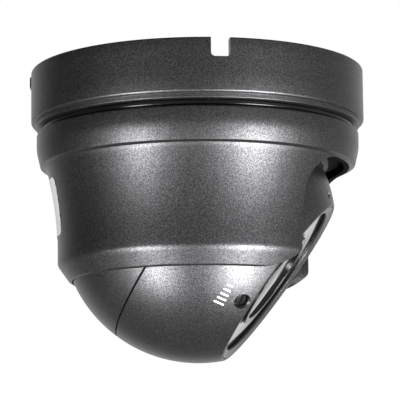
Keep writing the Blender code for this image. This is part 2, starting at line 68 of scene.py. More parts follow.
BASE_LOW, BASE_HIGH = reach("base_housing")
BASE_R, SKIRT_Z = BASE_HIGH.x, BASE_LOW.z
SHROUD_LOW, SHROUD_HIGH = reach("shroud_shell")
FLANGE_R, SHROUD_TOP, LIP_Z = SHROUD_HIGH.y, SHROUD_HIGH.z, SHROUD_LOW.z
SEAL_LOW, SEAL_HIGH = reach("seal_ring")
BASE_UNDER_Z = SEAL_HIGH.z + 0.3
LABEL_LOW, LABEL_HIGH = reach("rear_label")
BALL_CENTRE = Vector(JOINTS["tilt"]["pos_m"])
BALL_Z = BALL_CENTRE.z / MM
BALL_R = reach("ball_rear_shell")[1].y
AXIS = Vector(JOINTS["roll"]["axis"]).normalized()
BALL = Matrix.Translation(BALL_CENTRE) @ Matrix(
    ((AXIS.z, 0, AXIS.x, 0), (0, 1, 0, 0), (-AXIS.x, 0, AXIS.z, 0), (0, 0, 0, 1))
)
SPINDLES = {"zoom": "zoom_turn", "focus": "focus_turn"}

# ---- Sizes of the surface detail -------------------------------------------------------------------

BASE_WALL_R, RIM_R, TROUGH_Z = 64.8, 0.7, -20.9
STEP_R, STEP_Z = 68.1, -22.0
SKIRT_OUTER_R, SKIRT_INNER_R = 60.8, 56.8
WEB_TOP, WEB_BOTTOM, WEB_HOLE_R = -9.0, -11.8, 27.0
BOSS_PCD_R, BOSS_R, BOSS_HOLE_R = 45.0, 5.0, 2.3
GROMMET_PCD_R, GROMMET_HOLE_R = 42.0, 6.6
NOTCH_HALF, NOTCH_CORNER_R = 3.85, 1.6
NOTCHES = ((-77.7, -7.8), (185.0, -6.9))  # angle and depth
PLUG_R, PLUG_SIZE = 67.4, (6.4, 6.8, 5.7)
WALL_TOP_R, WALL_TOP_Z, WAIST_R, WAIST_Z = 63.3, -42.0, 58.95, -74.0
WINDOW_HALF, WINDOW_TOP, WINDOW_CORNER_R, LIP_CORNER_R = 38.5, -41.3, 14.0, 9.0
PAINTED_SHADE_BOTTOM, PAINTED_SHADE_INSET = WINDOW_TOP - 25, 1.0  # painted shade: inner faces above this height and this far in from the outer wall are coloured black for the shadow inside the window
SEAM_HALF_GAP = 0.25
BALL_INNER_R, CAP_H, CAP_HOLE_R = 54.5, -46.0, 6.0
FACE_H, FACE_RIM_R = 41.5, 38.9
GLASS_TOP, GLASS_BOTTOM = 39.4, 37.4
ADJUSTER_R, GRUB_R = 3.25, 1.4
HEAD_TOP, HEAD_UNDER, SLOT_SIZE = -1.1, -2.3, (0.9, 6, 1.2)
GRUB_UP, GRUB_SIDE, GRUB_H = 40.9, 13.4, 38.1
LED_COUNT, LED_PCD_R, LED_R = 24, 26.4, 2.5
TICKS, TICK_HALF, TICKS_SPAN, TICKS_BACK, INK_LIFTS = 5, 0.3, 8.8, 8.6, (-0.05, 0.03)
FINE = 180  # sides of a full turn

# ---- Light and view: metres, degrees, watts --------------------------------------------------------

STRIPS = (("strip_left", -44.0, 0.36, 85.0), ("strip_right", 45.0, 0.5, 140.0))  # turn, width, power
STRIP_DIP, STRIP_DISTANCE, STRIP_HEIGHT = 33.0, 1.5, 1.05
ROOM_LEFT, ROOM_RIGHT, ROOM_FLOOR = 0.04, 0.5, 0.2
WHITE_WALL, FLOOR_EDGE = (0.5, 0.95), (0.38, 0.45)  # where each one fades in, as a share of facing it
FLOOR_Z = -2.8
VIEW_AZIMUTH, VIEW_DIP, VIEW_ROLL = 4.51, 8.46, -0.58
VIEW_DISTANCE, LENS, SENSOR = 0.944, 202.6, 36.0
SHIFT_X, SHIFT_Y = 0.00385, 0.06485  # small framing shift, as a share of the frame


# ---- Outlines --------------------------------------------------------------------------------------


def rounded(corners, steps=5):
    """Outline points from (r, z, fillet) corners of a closed loop. A fillet of zero stays sharp."""
    points = []
    count = len(corners)
    for i, (r, z, fillet) in enumerate(corners):
        here = Vector((r, z))
        if not fillet:
            points.append((r, z))
            continue
        before = (Vector(corners[i - 1][:2]) - here).normalized()
        after = (Vector(corners[(i + 1) % count][:2]) - here).normalized()
        half = math.acos(max(-1.0, min(1.0, before.dot(after)))) / 2
        run = fillet / math.tan(half)
        centre = here + (before + after).normalized() * (fillet / math.sin(half))
        first, last = here + before * run - centre, here + after * run - centre
        turn = math.atan2(first.x * last.y - first.y * last.x, first.dot(last))
        for step in range(steps + 1):
            angle = turn * step / steps
            c, s = math.cos(angle), math.sin(angle)
            points.append((centre.x + first.x * c - first.y * s, centre.y + first.x * s + first.y * c))
    return points


def arc(centre_r, centre_z, radius, start, end, steps):
    """Points along an arc in an outline, between two angles in degrees from level."""
    for index in range(steps + 1):
        angle = math.radians(start + (end - start) * index / steps)
        yield centre_r + radius * math.cos(angle), centre_z + radius * math.sin(angle)


def at_turn(r, angle, z):
    """The point at a radius, an angle about Z in radians, and a height."""
    return r * math.cos(angle) * MM, r * math.sin(angle) * MM, z * MM


# ---- Meshes ----------------------------------------------------------------------------------------


def spun(outline, sides=FINE, matrix=None):
    """A solid of revolution about Z. An outline that starts and ends on the axis gets poles there."""
    mesh = bmesh.new()
    on_axis = outline[0][0] < 1e-6 and outline[-1][0] < 1e-6
    rings = []
    for r, z in outline:
        if r < 1e-6:
            rings.append([mesh.verts.new((0, 0, z * MM))])
        else:
            rings.append([mesh.verts.new(at_turn(r, 2 * math.pi * k / sides, z)) for k in range(sides)])
    pairs = list(zip(rings, rings[1:])) if on_axis else list(zip(rings, rings[1:] + rings[:1]))
    for first, second in pairs:
        for k in range(sides):
            j = (k + 1) % sides
            corners = [ring[i % len(ring)] for ring, i in ((first, k), (first, j), (second, j), (second, k))]
            unique = list(dict.fromkeys(corners))
            if len(unique) > 2:
                mesh.faces.new(unique)
    return placed(mesh, matrix)


def placed(mesh, matrix):
    """A mesh with its faces turned outwards, moved to its place."""
    bmesh.ops.recalc_face_normals(mesh, faces=mesh.faces)
    if matrix is not None:
        bmesh.ops.transform(mesh, matrix=matrix, verts=mesh.verts)
    return mesh


def gapped(outline, gaps, columns=FINE):
    """A ring about Z with openings in its wall. outline is a closed loop of (r, z) points. A gap is an
    angle and a function that gives the opening's half-width at an outline point, or None where the ring
    is whole there. Rows of vertices follow each opening's edge, so it stays smooth."""
    mesh = bmesh.new()
    gaps = sorted(gaps, key=lambda gap: gap[0])
    halves = []
    for angle, half_at in gaps:
        widths = [half_at(r, z) for r, z in outline]
        known = [(i, math.asin(w / outline[i][0])) for i, w in enumerate(widths) if w is not None]
        first, last = known[0], known[-1]
        spread = []
        for i, w in enumerate(widths):
            if w is not None:
                spread.append(math.asin(w / outline[i][0]))
            else:
                spread.append((first if i < first[0] else last)[1])
        halves.append((math.radians(angle), spread, [w is not None for w in widths]))
    rows = len(outline)
    edges = {}
    for g, (centre, spread, _) in enumerate(halves):
        for side in (-1, 1):
            edges[g, side] = [
                mesh.verts.new(at_turn(r, centre + side * s, z)) for (r, z), s in zip(outline, spread)
            ]

    def block(start, end, start_verts, end_verts, count, wanted):
        grid = [start_verts]
        for k in range(1, count):
            column = []
            for i, (r, z) in enumerate(outline):
                if not (wanted[i] or wanted[i - 1] or wanted[(i + 1) % rows]):
                    column.append(None)
                    continue
                a = start[i] + (end[i] - start[i]) * k / count
                column.append(mesh.verts.new(at_turn(r, a, z)))
            grid.append(column)
        grid.append(end_verts)
        return grid

    def fill(grid, keep):
        for left, right in zip(grid, grid[1:]):
            for i in range(rows):
                j = (i + 1) % rows
                if keep(i, j):
                    mesh.faces.new((left[i], right[i], right[j], left[j]))

    total = len(halves)
    for g, (centre, spread, opened) in enumerate(halves):
        following, next_spread, _ = halves[(g + 1) % total]
        while following <= centre:
            following += 2 * math.pi
        start = [centre + s for s in spread]
        end = [following - s for s in next_spread]
        count = max(2, round(columns * (following - centre) / (2 * math.pi)))
        whole = block(start, end, edges[g, 1], edges[(g + 1) % total, -1], count, [True] * rows)
        fill(whole, lambda i, j: True)
        front_count = max(4, round(columns * 2 * max(spread) / (2 * math.pi)))
        first_open, last_open = opened.index(True), rows - 1 - opened[::-1].index(True)
        ends = (first_open, last_open)
        wanted = [not opened[i] or i in ends for i in range(rows)]
        start = [centre - s for s in spread]
        end = [centre + s for s in spread]
        front = block(start, end, edges[g, -1], edges[g, 1], front_count, wanted)
        fill(front, lambda i, j: wanted[i] and wanted[j] and not (i in ends and j in ends))
        for left, right in zip(front, front[1:]):
            mesh.faces.new((left[first_open], right[first_open], right[last_open], left[last_open]))
        for side in (-1, 1):
            chain = edges[g, side]
            low, high = first_open, last_open
            while high - low > 1:
                corners = (chain[low], chain[low + 1], chain[high - 1], chain[high])
                mesh.faces.new(list(dict.fromkeys(corners)))
                low, high = low + 1, high - 1
    return placed(mesh, None)


def bolted(meshes):
    """Several meshes as one."""
    whole = bmesh.new()
    for mesh in meshes:
        data = bpy.data.meshes.new("share")
        mesh.to_mesh(data)
        mesh.free()
        whole.from_mesh(data)
        bpy.data.meshes.remove(data)
    return whole


def shaped(name, mesh, body, material, nodes=(), sharp=38):
    """A finished piece from a mesh. It rides a body, fills a slot and may replace CAD nodes."""
    data = bpy.data.meshes.new(name)
    mesh.to_mesh(data)
    mesh.free()
    data.shade_smooth()
    data.set_sharp_from_angle(angle=math.radians(sharp))
    obj = bpy.data.objects.new(name, data)
    bpy.context.scene.collection.objects.link(obj)
    obj.data.materials.append(material)
    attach(obj, body)
    if nodes:
        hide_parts(*nodes)
    return obj


def carved(obj, meshes):
    """Cuts meshes from a piece for good, one after another."""
    for mesh in meshes:
        bmesh.ops.recalc_face_normals(mesh, faces=mesh.faces)
        data = bpy.data.meshes.new("cutter")
        mesh.to_mesh(data)
        mesh.free()
        cutter = bpy.data.objects.new("cutter", data)
        bpy.context.scene.collection.objects.link(cutter)
        step = obj.modifiers.new("cut", "BOOLEAN")
        step.operation = "DIFFERENCE"
        step.object = cutter
        bpy.context.view_layer.update()
        shape = bpy.data.meshes.new_from_object(obj.evaluated_get(bpy.context.evaluated_depsgraph_get()))
        obj.modifiers.clear()
        old, obj.data = obj.data, shape
        bpy.data.meshes.remove(old)
        bpy.data.objects.remove(cutter)
        bpy.data.meshes.remove(data)


def true_normals(obj, normal_at, sharp=30):
    """Gives the corners of a carved surface the exact normals of the shape it was carved from, where
    normal_at knows one, so no shading mark is left round the cuts."""
    mesh = obj.data
    mesh.set_sharp_from_angle(angle=math.radians(sharp))
    normals = [Vector(corner.vector) for corner in mesh.corner_normals]
    for face in mesh.polygons:
        for loop in face.loop_indices:
            exact = normal_at(mesh.vertices[mesh.loops[loop].vertex_index].co)
            if exact is not None and exact.dot(face.normal) > 0.97:
                normals[loop] = exact
    mesh.normals_split_custom_set(normals)


def softened(obj, width):
    """Rounds a piece's sharp edges."""
    bevel = obj.modifiers.new("edge", "BEVEL")
    bevel.width = width * MM
    bevel.segments = 3
    bevel.limit_method = "ANGLE"
    bevel.angle_limit = math.radians(40)
    bevel.harden_normals = True
    bevel.use_clamp_overlap = True


# ---- Materials -------------------------------------------------------------------------------------


def shader_of(name):
    """A new material with its node tree and its shader."""
    material = bpy.data.materials.new(name)
    material.use_nodes = True
    return material, material.node_tree, material.node_tree.nodes["Principled BSDF"]


def texture(tree, kind, scale, **settings):
    """A pattern fixed to the piece."""
    coordinates = tree.nodes.new("ShaderNodeTexCoord")
    node = tree.nodes.new(kind)
    tree.links.new(coordinates.outputs["Object"], node.inputs["Vector"])
    node.inputs["Scale"].default_value = scale
    for key, value in settings.items():
        node.inputs[key].default_value = value
    return node


def ranged(tree, socket, low, high, from_low=0.0, from_high=1.0):
    """A value stretched from one range to another, and held at its ends."""
    node = tree.nodes.new("ShaderNodeMapRange")
    tree.links.new(socket, node.inputs["Value"])
    node.inputs["From Min"].default_value = from_low
    node.inputs["From Max"].default_value = from_high
    node.inputs["To Min"].default_value = low
    node.inputs["To Max"].default_value = high
    return node.outputs["Result"]


def tinted(tree, factor, dark, light):
    """A colour between a dark and a light one."""
    mix = tree.nodes.new("ShaderNodeMix")
    mix.data_type = "RGBA"
    tree.links.new(factor, mix.inputs["Factor"])
    mix.inputs[6].default_value = (*dark, 1.0)
    mix.inputs[7].default_value = (*light, 1.0)
    return mix.outputs[2]


def bumped(tree, shader, height, distance):
    """Lets a pattern raise the surface by up to a distance."""
    bump = tree.nodes.new("ShaderNodeBump")
    bump.inputs["Distance"].default_value = distance * MM
    bump.inputs["Strength"].default_value = 1.0
    tree.links.new(height, bump.inputs["Height"])
    tree.links.new(bump.outputs["Normal"], shader.inputs["Normal"])


def flake_paint(name, base, metallic, roughness, flake, spread):
    """Metallic lacquer: flakes of different brightness among a coarser grit, both slightly raised."""
    material, tree, shader = shader_of(name)
    flakes = texture(tree, "ShaderNodeTexVoronoi", 1000 / flake)
    grit = texture(tree, "ShaderNodeTexVoronoi", 450 / flake)
    clouds = texture(tree, "ShaderNodeTexNoise", 120.0, Detail=4.0)
    channels = tree.nodes.new("ShaderNodeSeparateColor")
    tree.links.new(flakes.outputs["Color"], channels.inputs["Color"])
    mixed = tree.nodes.new("ShaderNodeMath")
    mixed.operation = "MULTIPLY_ADD"
    tree.links.new(channels.outputs["Red"], mixed.inputs[0])
    mixed.inputs[1].default_value = 0.5
    share = ranged(tree, grit.outputs["Distance"], 0.0, 0.55, 0.15, 0.85)
    tree.links.new(share, mixed.inputs[2])
    dark = tuple(c * (1 - spread) for c in base)
    light = tuple(c * (1 + 1.4 * spread) for c in base)
    tree.links.new(tinted(tree, mixed.outputs[0], dark, light), shader.inputs["Base Color"])
    shader.inputs["Metallic"].default_value = metallic
    rough = ranged(tree, clouds.outputs["Fac"], roughness - 0.006, roughness + 0.006, 0.3, 0.7)
    tree.links.new(rough, shader.inputs["Roughness"])
    bumped(tree, shader, mixed.outputs[0], 0.02)
    return material


def plastic(name, base, roughness, grain=0.35, depth=0.01, specular=0.5):
    """Moulded plastic or rubber with a fine even grain and faint handling marks."""
    material, tree, shader = shader_of(name)
    grains = texture(tree, "ShaderNodeTexNoise", 1000 / grain, Detail=3.0)
    clouds = texture(tree, "ShaderNodeTexNoise", 90.0, Detail=3.0)
    dark = tuple(c * 0.8 for c in base)
    light = tuple(c * 1.25 for c in base)
    tree.links.new(tinted(tree, clouds.outputs["Fac"], dark, light), shader.inputs["Base Color"])
    shader.inputs["Specular IOR Level"].default_value = specular
    rough = ranged(tree, clouds.outputs["Fac"], roughness - 0.05, roughness + 0.07, 0.3, 0.7)
    tree.links.new(rough, shader.inputs["Roughness"])
    bumped(tree, shader, grains.outputs["Fac"], depth)
    return material


def metal(name, base, roughness):
    """Machined or rolled metal, with a fine uneven grain and slight tarnish."""
    material, tree, shader = shader_of(name)
    grain = texture(tree, "ShaderNodeTexNoise", 900.0, Detail=5.0, Roughness=0.7)
    clouds = texture(tree, "ShaderNodeTexNoise", 160.0, Detail=3.0)
    dark = tuple(c * 0.82 for c in base)
    tree.links.new(tinted(tree, clouds.outputs["Fac"], dark, base), shader.inputs["Base Color"])
    shader.inputs["Metallic"].default_value = 1.0
    rough = ranged(tree, grain.outputs["Fac"], roughness - 0.08, roughness + 0.12, 0.25, 0.75)
    tree.links.new(rough, shader.inputs["Roughness"])
    bumped(tree, shader, grain.outputs["Fac"], 0.006)
    return material


def glass(name, base, roughness, clearness=0.0, specular=0.5):
    """Tinted window or lens glass, with a faint smear that shows only in its gloss."""
    material, tree, shader = shader_of(name)
    smear = texture(tree, "ShaderNodeTexNoise", 45.0, Detail=4.0)
    light = tuple(c * 1.4 for c in base)
    tree.links.new(tinted(tree, smear.outputs["Fac"], base, light), shader.inputs["Base Color"])
    rough = ranged(tree, smear.outputs["Fac"], roughness, roughness + 0.03, 0.35, 0.75)
    tree.links.new(rough, shader.inputs["Roughness"])
    shader.inputs["Transmission Weight"].default_value = clearness
    shader.inputs["Specular IOR Level"].default_value = specular
    return material


def board(name):
    """Green solder mask over copper tracks."""
    material, tree, shader = shader_of(name)
    tracks = texture(tree, "ShaderNodeTexVoronoi", 420.0)
    tracks.distance = "CHEBYCHEV"
    weave = texture(tree, "ShaderNodeTexNoise", 1500.0, Detail=2.0)
    edge = ranged(tree, tracks.outputs["Distance"], 0.0, 1.0, 0.25, 0.45)
    green = tinted(tree, edge, (0.012, 0.11, 0.045), (0.02, 0.19, 0.075))
    tree.links.new(green, shader.inputs["Base Color"])
    rough = ranged(tree, weave.outputs["Fac"], 0.28, 0.42)
    tree.links.new(rough, shader.inputs["Roughness"])
    bumped(tree, shader, edge, 0.03)
    return material


PAINT = flake_paint("graphite_paint", (0.03, 0.03, 0.031), 0.92, 0.38, 0.23, 0.98)
# Painted shade: a dull, barely reflecting black put where shadow falls, inside the shroud's window and on the
# ball's clamp ring.
PAINTED_SHADE_BLACK = plastic("painted_shade_inside", (0.004, 0.004, 0.004), 0.8, 0.4, 0.02, 0.0)
BLACK_PAINT = flake_paint("black_paint", (0.012, 0.012, 0.013), 0.3, 0.35, 0.5, 0.2)
RUBBER = plastic("black_rubber", (0.003, 0.003, 0.003), 0.2, 0.5, 0.004, 0.22)
FELT = plastic("friction_rubber", (0.006, 0.006, 0.006), 0.6, 0.3, 0.03)
BLACK_PLASTIC = plastic("black_plastic", (0.012, 0.012, 0.012), 0.4)
WHITE_PLASTIC = plastic("white_plastic", (0.7, 0.7, 0.68), 0.38)
DARK_GLASS = glass("dark_glass", (0.004, 0.004, 0.005), 0.02, 0.0, 0.6)
LENS_GLASS = glass("lens_glass", (0.5, 0.52, 0.62), 0.01, 0.9)
RESIN = glass("clear_resin", (0.7, 0.72, 0.76), 0.06, 0.6)
STEEL = metal("steel", (0.56, 0.56, 0.57), 0.28)
DARK_STEEL = metal("blackened_steel", (0.016, 0.016, 0.017), 0.42)
BRASS = metal("brass", (0.62, 0.45, 0.18), 0.3)
BOARD = board("circuit_board")
SILICON = glass("silicon", (0.08, 0.06, 0.12), 0.08)
LABEL = plastic("silver_label", (0.21, 0.212, 0.216), 0.65, 0.6, 0.003, 0.05)
INK = plastic("white_ink", (0.8, 0.8, 0.8), 0.5, 0.5, 0.004)

SLOT_MATERIALS = {
    "graphite_paint": PAINT, "black_paint": BLACK_PAINT, "black_rubber": RUBBER,
    "black_plastic": BLACK_PLASTIC, "white_plastic": WHITE_PLASTIC, "dark_glass": DARK_GLASS,
    "lens_glass": LENS_GLASS, "clear_resin": RESIN, "steel": STEEL, "brass": BRASS,
    "circuit_board": BOARD, "silicon": SILICON, "silver_label": LABEL,
}


# ---- Base ------------------------------------------------------------------------------------------


def notch_half(depth):
    """Half-width of a round-cornered notch that is open at the base's top rim."""

    def half_at(r, z):
        if r < BASE_WALL_R - 0.01 or z < depth - 1e-6:
            return None
        above = z - depth
        if above >= NOTCH_CORNER_R:
            return NOTCH_HALF
        drop = NOTCH_CORNER_R - above
        return NOTCH_HALF - NOTCH_CORNER_R + math.sqrt(max(0.0, NOTCH_CORNER_R**2 - drop**2))

    return half_at


def make_base():
    """The base with its notches and bosses, the seal under it, the plug in its rear notch, the grommet."""
    levels = sorted({depth + step for _, depth in NOTCHES for step in (0, 0.15, 0.4, 0.8, NOTCH_CORNER_R)})
    wall_up = [(BASE_WALL_R, z) for z in levels]
    wall_down = [(BASE_R, z) for z in reversed(levels)]
    inner_rim = [(BASE_WALL_R, z) for z in (-3.0, -1.5, -0.8, -0.3)] + [(BASE_WALL_R + 0.3, 0)]
    turns = (0.0, 0.4, 0.8, 1.2, math.pi / 2)
    outer_rim = [(BASE_R - RIM_R + RIM_R * math.sin(a), -RIM_R + RIM_R * math.cos(a)) for a in turns]
    foot = rounded(
        [(BASE_R, -14.0, 0), (BASE_R, STEP_Z, 1.0), (STEP_R, STEP_Z - 0.1, 0.1), (STEP_R, BASE_UNDER_Z, 0.3),
         (SKIRT_OUTER_R, BASE_UNDER_Z, 0.5), (SKIRT_OUTER_R, SKIRT_Z, 0.4),
         (SKIRT_INNER_R, SKIRT_Z, 0.4), (SKIRT_INNER_R, WEB_BOTTOM, 1.2), (WEB_HOLE_R, WEB_BOTTOM, 0.5),
         (WEB_HOLE_R, WEB_TOP, 0.5), (SKIRT_OUTER_R, WEB_TOP, 0.8), (SKIRT_OUTER_R, TROUGH_Z, 1.5),
         (BASE_WALL_R, TROUGH_Z, 1.5), (BASE_WALL_R, -14.0, 0)],
        4,
    )
    outline = wall_up + inner_rim + outer_rim + wall_down + foot
    base = gapped(outline, [(angle, notch_half(depth)) for angle, depth in NOTCHES])
    obj = shaped("base_shell", base, "base", PAINT, ["base_housing"], 30)
    places = [Matrix.Translation(at_turn(BOSS_PCD_R, math.radians(a), 0)) for a in (0, 120, 240)]
    grommet_place = Matrix.Translation((-GROMMET_PCD_R * MM, 0, 0))
    boss_hole, grommet_hole = (
        [(0, WEB_BOTTOM - 2.2), (r, WEB_BOTTOM - 2.2), (r, WEB_TOP + 3), (0, WEB_TOP + 3)]
        for r in (BOSS_HOLE_R, GROMMET_HOLE_R)
    )
    carved(obj, [*(spun(boss_hole, 32, place) for place in places), spun(grommet_hole, 48, grommet_place)])
    obj.data.set_sharp_from_angle(angle=math.radians(30))
    boss = rounded(
        [(BOSS_HOLE_R, WEB_TOP + 0.02, 0), (BOSS_R + 1.6, WEB_TOP + 0.02, 0), (BOSS_R, WEB_TOP + 1.6, 1.2),
         (BOSS_R, 0, 0.4), (BOSS_HOLE_R, 0, 0.5)],
        4,
    )
    shaped("base_bosses", bolted(spun(boss, 48, place) for place in places), "base", PAINT)

    low, high = SEAL_LOW.z, SEAL_HIGH.z
    seal = rounded([(64.2, low, 0.3), (66.0, low, 0.9), (66.0, high, 0.9), (64.2, high, 0.3)], 8)
    shaped("seal_bead", spun(seal), "base", RUBBER, ["seal_ring"])

    plug_low, plug_high = reach("notch_plug")
    turn = Matrix.Rotation(math.radians(NOTCHES[1][0]), 4, "Z")
    place = turn @ Matrix.Translation((PLUG_R * MM, 0, (plug_low.z + plug_high.z) / 2 * MM))
    plug = bmesh.new()
    bmesh.ops.create_cube(plug, size=1.0, matrix=Matrix.Diagonal((*(side * MM for side in PLUG_SIZE), 1.0)))
    bmesh.ops.bevel(plug, geom=plug.edges[:], offset=1.1 * MM, segments=6, profile=0.5, affect="EDGES")
    bmesh.ops.transform(plug, verts=plug.verts, matrix=place)
    shaped("notch_stopper", plug, "base", RUBBER, ["notch_plug"])

    grommet = rounded(
        [(4.0, -7.8, 0.5), (8.2, -7.8, 0.6), (8.2, -8.7, 0), (6.2, -8.7, 0), (6.2, -12.1, 0),
         (8.2, -12.1, 0), (8.2, -13.0, 0.6), (4.0, -13.0, 0.5)],
        4,
    )
    shaped("grommet", spun(grommet, 64, grommet_place), "base", RUBBER, ["cable_grommet"])


# ---- Shroud ----------------------------------------------------------------------------------------


def window_half(r, z):
    """Half-width of the shroud's window: a round-cornered top, straight sides, flared lower corners."""
    if z > WINDOW_TOP + 1e-6:
        return None
    below = WINDOW_TOP - z
    if below < WINDOW_CORNER_R:
        rise = WINDOW_CORNER_R - below
        return WINDOW_HALF - WINDOW_CORNER_R + math.sqrt(WINDOW_CORNER_R**2 - rise**2)
    above_lip = z - LIP_Z
    if above_lip < LIP_CORNER_R:
        dip = LIP_CORNER_R - above_lip
        return WINDOW_HALF + LIP_CORNER_R - math.sqrt(max(0.0, LIP_CORNER_R**2 - dip**2))
    return WINDOW_HALF


def wall_r(z):
    """Outer radius of the shroud's wall, which flares up to the flange in a shallow hollow curve."""
    return WAIST_R + (WALL_TOP_R - WAIST_R) * max(0.0, (z - WAIST_Z) / (WALL_TOP_Z - WAIST_Z)) ** 2


def make_shroud():
    """The shroud: flange, hollow-curved wall, waist, lip, and the front window, whose inner faces are coloured
    black as painted shade.
    """
    play_r = BALL_R + 0.4
    lip_angle = math.degrees(math.asin((LIP_Z + 0.6 - BALL_Z) / play_r))
    wall = [(wall_r(z), z, 0) for z in (WALL_TOP_Z + (WAIST_Z - WALL_TOP_Z) * k / 16 for k in range(17))]
    outside = rounded(
        [(66.0, SHROUD_TOP, 0), (FLANGE_R, SHROUD_TOP, 0.9), (FLANGE_R, -33.6, 17.0), (66.15, -40.2, 0.5),
         (63.85, -40.75, 0.45), *wall, (WAIST_R, LIP_Z + 7.1, 3.0),
         (54.4, LIP_Z + 0.7, 0.7), (53.2, LIP_Z, 0.4), (52.8, LIP_Z + 0.6, 0)],
        6,
    )[1:-1]
    inside = [
        *arc(0, BALL_Z, play_r, lip_angle, 0, 12), (60.9, -45.0), (61.3, WINDOW_TOP), (61.4, -39.0),
        (63.6, -39.0), (63.6, -34.6), (64.3, -33.8), (64.3, -30.0), (65.1, -30.0), (65.1, SHROUD_TOP),
    ]
    zone = [WINDOW_TOP - WINDOW_CORNER_R * (1 - math.cos(math.radians(a))) for a in range(0, 91, 6)]
    straight_top, straight_end = WINDOW_TOP - WINDOW_CORNER_R, LIP_Z + LIP_CORNER_R
    zone += [straight_top + (straight_end - straight_top) * k / 20 for k in range(1, 21)]
    lip_top = LIP_Z + 0.9
    zone += [straight_end + (lip_top - straight_end) * k / 9 for k in range(1, 10)]
    outer_wall = [(radius_at(outside, z), z) for z in zone]
    inner_wall = [(radius_at(inside, z), z) for z in zone]
    above_outer = [(r, z) for r, z in outside if z > WINDOW_TOP + 0.05]
    lip = [(r, z) for r, z in outside if z < lip_top - 0.05]
    above_inner = [(r, z) for r, z in inside if z > WINDOW_TOP + 0.05]
    outline = above_outer + outer_wall + lip + list(reversed(inner_wall)) + above_inner
    mesh = gapped(outline, [(0.0, window_half)], 220)
    obj = shaped("shroud_body", mesh, "head", PAINT, ["shroud_shell"], 30)
    # Painted shade: inner faces behind the window's edge take the dull black instead of the paint.
    obj.data.materials.append(PAINTED_SHADE_BLACK)
    for face in obj.data.polygons:
        centre = face.center / MM
        in_painted_shade = math.hypot(centre.x, centre.y) < radius_at(outside, centre.z) - PAINTED_SHADE_INSET
        if in_painted_shade and centre.z > PAINTED_SHADE_BOTTOM and face.normal.z < 0.5:
            face.material_index = 1
    softened(obj, 0.5)


def radius_at(points, z):
    """The radius of an outline at a height, between its two nearest points."""
    for (r0, z0), (r1, z1) in zip(points, points[1:]):
        if min(z0, z1) - 1e-9 <= z <= max(z0, z1) + 1e-9 and abs(z1 - z0) > 1e-9:
            return r0 + (r1 - r0) * (z - z0) / (z1 - z0)
    return points[-1][0] if abs(points[-1][1] - z) < abs(points[0][1] - z) else points[0][0]


def make_label():
    """A blank sticker bent round the rear of the shroud, with round corners."""
    width = (LABEL_HIGH.y - LABEL_LOW.y) / 2
    half_angle = width / 61.0
    top, bottom, corner = LABEL_HIGH.z, LABEL_LOW.z, 2.5
    columns, rows = 48, 24
    mesh = bmesh.new()
    grid = {}
    for layer, stand_off in enumerate((0.02, 0.2)):
        for column in range(columns + 1):
            across = -math.cos(math.pi * column / columns)
            from_side = (1 - abs(across)) * width
            inset = 0
            if from_side < corner:
                inset = corner - math.sqrt(max(0.0, corner**2 - (corner - from_side) ** 2))
            for row in range(rows + 1):
                z = top - inset + (bottom - top + 2 * inset) * row / rows
                place = at_turn(wall_r(z) + stand_off, math.pi + across * half_angle, z)
                grid[layer, column, row] = mesh.verts.new(place)
    for layer in (0, 1):
        for column in range(columns):
            for row in range(rows):
                corners = ((0, 0), (1, 0), (1, 1), (0, 1))
                mesh.faces.new([grid[layer, column + i, row + j] for i, j in corners])
    edge = [(c, 0) for c in range(columns)] + [(columns, r) for r in range(rows)]
    edge += [(c, rows) for c in range(columns, 0, -1)] + [(0, r) for r in range(rows, 0, -1)]
    for (c0, r0), (c1, r1) in zip(edge, edge[1:] + edge[:1]):
        mesh.faces.new([grid[0, c0, r0], grid[0, c1, r1], grid[1, c1, r1], grid[1, c0, r0]])
    shaped("sticker", placed(mesh, None), "head", LABEL, ["rear_label"])


# ---- Ball ------------------------------------------------------------------------------------------


def on_sphere(point):
    """The ball's own normal at a point of its outer surface."""
    arm = point - BALL_CENTRE
    return arm.normalized() if abs(arm.length - BALL_R * MM) < 0.02 * MM else None


def spindle_matrix(joint):
    """A frame on a spindle: its mouth on the ball's surface, +Z out of the ball."""
    axis = Vector(JOINTS[joint]["axis"]).normalized()
    return Matrix.Translation(JOINTS[joint]["pos_m"]) @ facing_along(axis)


def facing_along(axis):
    """The turn that brings +Z onto an axis."""
    return axis.to_track_quat("Z", "Y").to_matrix().to_4x4()


